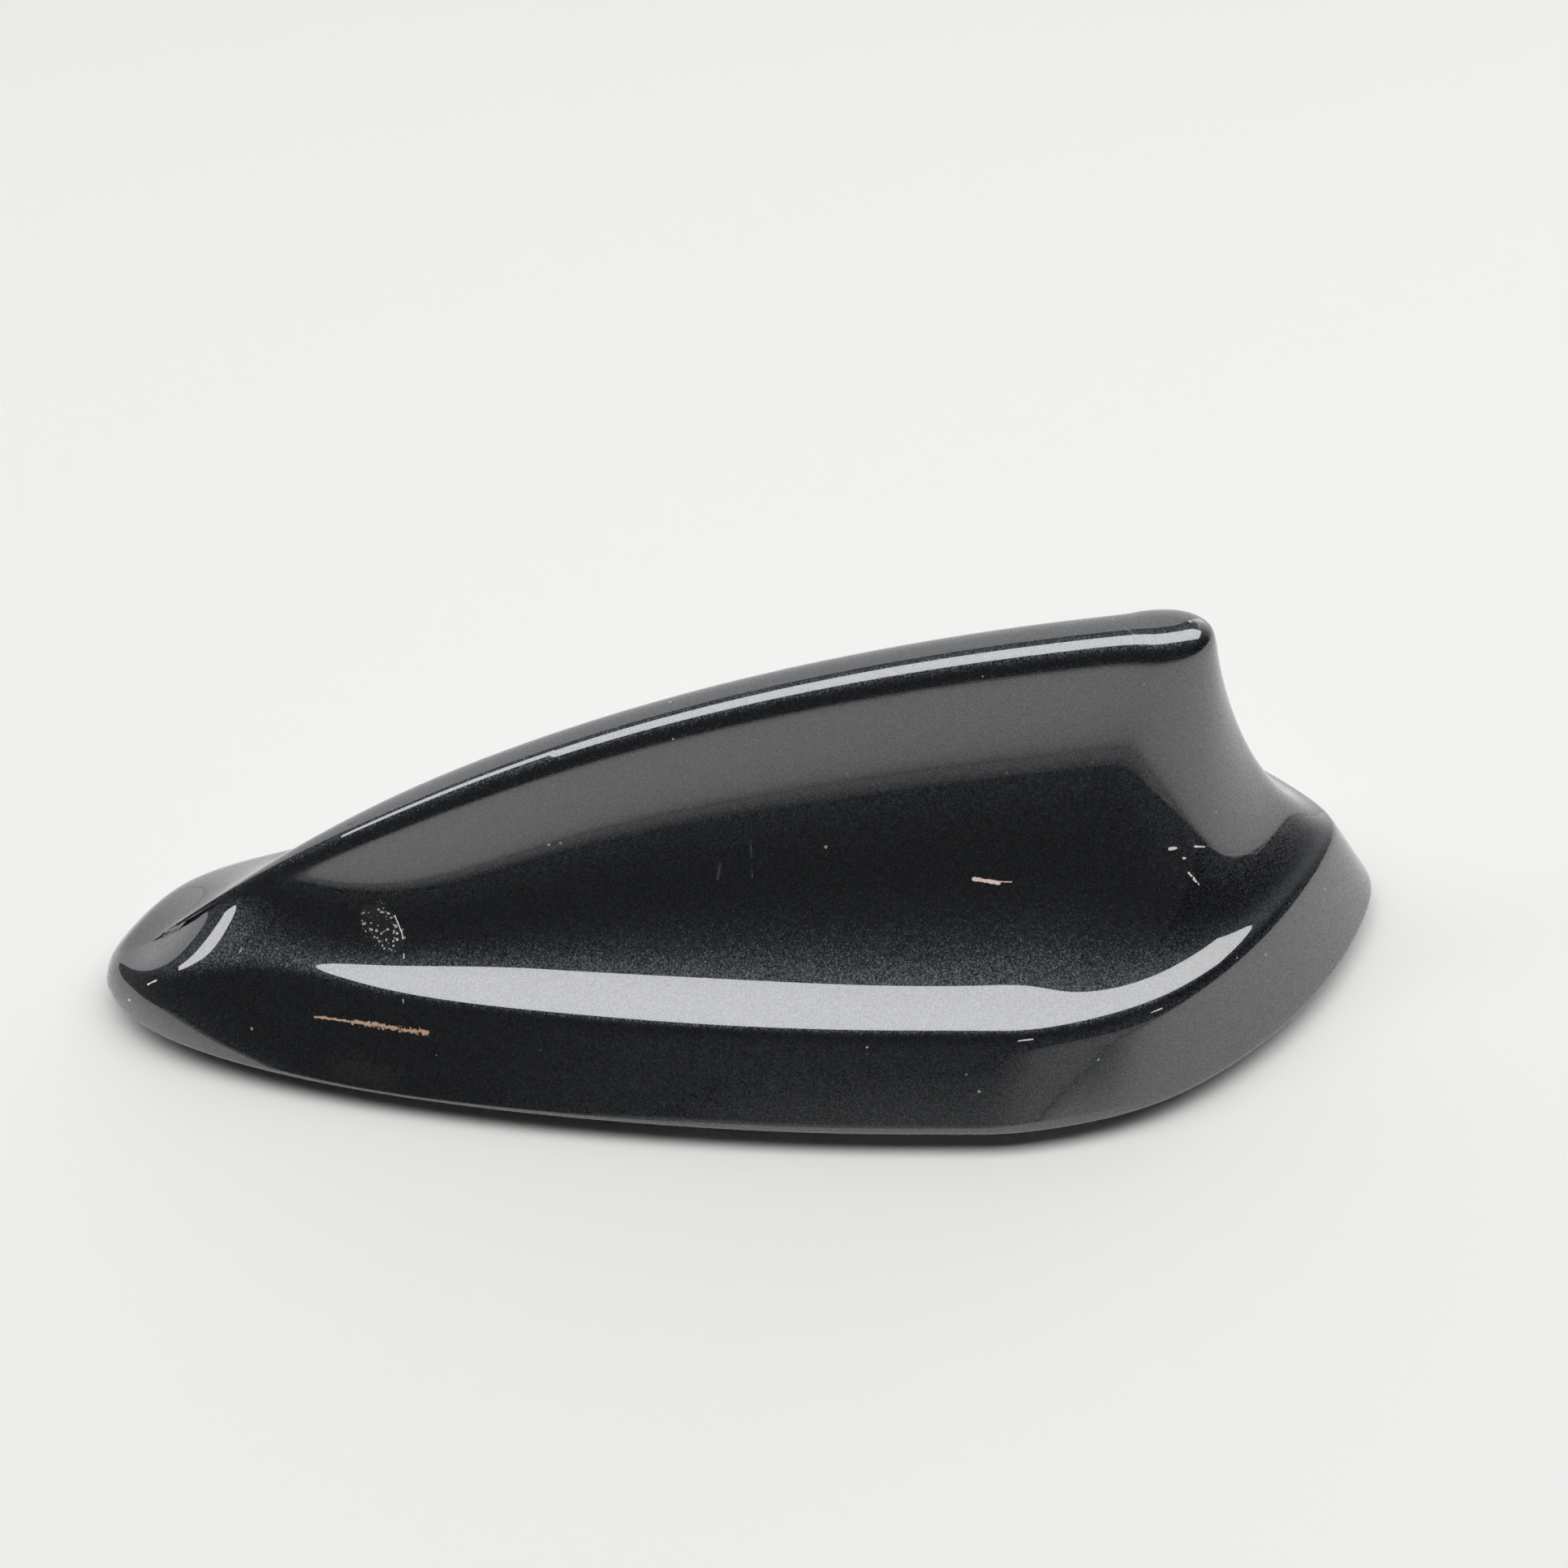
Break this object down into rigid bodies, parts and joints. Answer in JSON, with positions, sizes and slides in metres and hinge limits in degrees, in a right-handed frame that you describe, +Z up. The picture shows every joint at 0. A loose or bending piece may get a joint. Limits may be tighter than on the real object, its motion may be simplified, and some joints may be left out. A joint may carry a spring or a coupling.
{
  "type": "shark fin antenna",
  "caption": "Car roof antenna: a painted fin cover with hollow flanks and a raised skirt, on a cast base with a threaded roof fixing and cable sockets below.",
  "frame": {"origin": "on the axis of the threaded roof fixing, in the plane of the spigot underside that the antenna stands on", "axes": "+X from the nose to the tail, +Y to the antenna's right as its nose points away, +Z up; symmetric about the XZ plane"},
  "size_m": [0.165, 0.0726, 0.0505],
  "materials": {
    "paint": "charcoal metallic paint under a glossy clear coat, on moulded plastic",
    "cast_base": "die-cast zinc alloy, dull",
    "seal": "moulded rubber",
    "bush": "threaded steel, zinc plated",
    "board": "glass-fibre circuit board with solder mask",
    "screws": "zinc plated",
    "copper": "copper foil under clear lacquer",
    "inner_plastic": "moulded plastic",
    "springs": "tin plated and silver faced metal",
    "tape": "foam tape",
    "ceramic": "unglazed dielectric ceramic",
    "can": "tin plated sheet",
    "blue_socket": "moulded plastic",
    "violet_socket": "moulded plastic",
    "contacts": "gold plated brass",
    "insulation": "white insulating plastic",
    "membrane": "porous membrane"
  },
  "bodies": {
    "root": {"fin_cover": "paint", "base_plate": "cast_base", "fixing_block": "inner_plastic", "socket_block": "inner_plastic", "cover_seal": "seal", "roof_seal": "seal", "bolt_bush": "bush", "main_board": "board", "board_screws": "screws", "cover_screws": "screws", "fin_board": "board", "phone_radiator": "copper", "fin_board_bracket": "inner_plastic", "feed_clips": "springs", "patch_tape": "tape", "patch_ceramic": "ceramic", "patch_electrode": "springs", "patch_pin": "springs", "shield_can": "can", "position_socket": "blue_socket", "phone_socket": "violet_socket", "socket_shells": "contacts", "socket_cores": "insulation", "socket_pins": "contacts", "vent_membrane": "membrane"}
  },
  "joints": []
}
